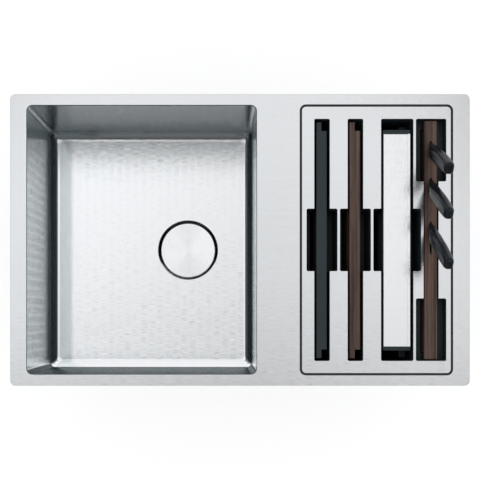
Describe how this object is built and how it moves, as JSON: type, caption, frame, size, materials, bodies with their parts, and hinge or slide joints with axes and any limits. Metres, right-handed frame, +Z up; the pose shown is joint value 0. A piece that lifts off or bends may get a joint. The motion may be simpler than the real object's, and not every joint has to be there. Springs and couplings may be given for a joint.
{
  "type": "workstation kitchen sink",
  "caption": "Drop-in stainless sink with a washing bowl and a covered compartment whose slots store chopping boards, a colander and a knife block.",
  "frame": {"origin": "centre of the rim on the seat plane, where the sealing strip lies on the worktop", "axes": "+X to the right along the rim's long side, +Y to the back, +Z up out of the worktop"},
  "size_m": [0.82, 0.52, 0.4127],
  "materials": {
    "rim_steel": "fine straight brushing",
    "bowl_steel": "satin",
    "blade_steel": "ground",
    "zinc_steel": "zinc plated",
    "seal_rubber": "matt foam",
    "pad_rubber": "matt",
    "waste_plastic": "moulded",
    "tray_plastic": "fine moulded grain",
    "board_laminate": "matt laminate",
    "dark_wood": "oiled",
    "handle_plastic": "satin"
  },
  "bodies": {
    "sink": {"deck": "rim_steel", "main_bowl": "bowl_steel", "waste_recess": "bowl_steel", "accessory_bowl": "bowl_steel", "ledge_strip": "seal_rubber", "rim_seal": "seal_rubber", "sound_pads": "pad_rubber", "clip_brackets": "zinc_steel", "clip_claws": "zinc_steel", "clip_screws": "zinc_steel", "drain_flange": "bowl_steel", "flange_gasket": "seal_rubber", "drain_gasket": "seal_rubber", "drain_body": "waste_plastic", "drain_bolt": "zinc_steel", "box_grid": "bowl_steel", "box_nut": "waste_plastic", "box_elbow": "waste_plastic", "link_pipe": "waste_plastic", "link_nuts": "waste_plastic"},
    "basket": {"strainer_basket": "bowl_steel", "basket_knob": "bowl_steel"},
    "cover": {"waste_cover": "rim_steel"},
    "insert": {"insert_plate": "rim_steel", "black_board_well": "tray_plastic", "wood_board_well": "tray_plastic", "colander_well": "tray_plastic", "knife_block_well": "tray_plastic", "well_nuts": "zinc_steel"},
    "stored_black_board": {"black_board": "board_laminate"},
    "stored_wood_board": {"wood_board": "dark_wood"},
    "stored_colander": {"colander": "bowl_steel", "colander_grips": "tray_plastic"},
    "stored_block": {"knife_block": "dark_wood"},
    "paring_knife": {"paring_blade": "blade_steel", "paring_handle": "handle_plastic"},
    "utility_knife": {"utility_blade": "blade_steel", "utility_handle": "handle_plastic"},
    "chef_knife": {"chef_blade": "blade_steel", "chef_handle": "handle_plastic"}
  },
  "joints": [
    {"name": "basket_lift", "type": "slide", "parent": "sink", "child": "basket", "axis": [0, 0, 1], "range_m": [0, 0.26]},
    {"name": "cover_lift", "type": "slide", "parent": "basket", "child": "cover", "axis": [0, 0, 1], "range_m": [0, 0.22]},
    {"name": "insert_lift", "type": "slide", "parent": "sink", "child": "insert", "axis": [0, 0, 1], "range_m": [0, 0.21]},
    {"name": "black_board_lift", "type": "slide", "parent": "insert", "child": "stored_black_board", "axis": [0, 0, 1], "range_m": [0, 0.2]},
    {"name": "wood_board_lift", "type": "slide", "parent": "insert", "child": "stored_wood_board", "axis": [0, 0, 1], "range_m": [0, 0.2]},
    {"name": "colander_lift", "type": "slide", "parent": "insert", "child": "stored_colander", "axis": [0, 0, 1], "range_m": [0, 0.2]},
    {"name": "block_lift", "type": "slide", "parent": "insert", "child": "stored_block", "axis": [0, 0, 1], "range_m": [0, 0.2]},
    {"name": "paring_draw", "type": "slide", "parent": "stored_block", "child": "paring_knife", "axis": [0, -0.4772, 0.8788], "range_m": [0, 0.1]},
    {"name": "utility_draw", "type": "slide", "parent": "stored_block", "child": "utility_knife", "axis": [0, -0.5299, 0.848], "range_m": [0, 0.2]},
    {"name": "chef_draw", "type": "slide", "parent": "stored_block", "child": "chef_knife", "axis": [0, -0.5563, 0.831], "range_m": [0, 0.23]}
  ]
}
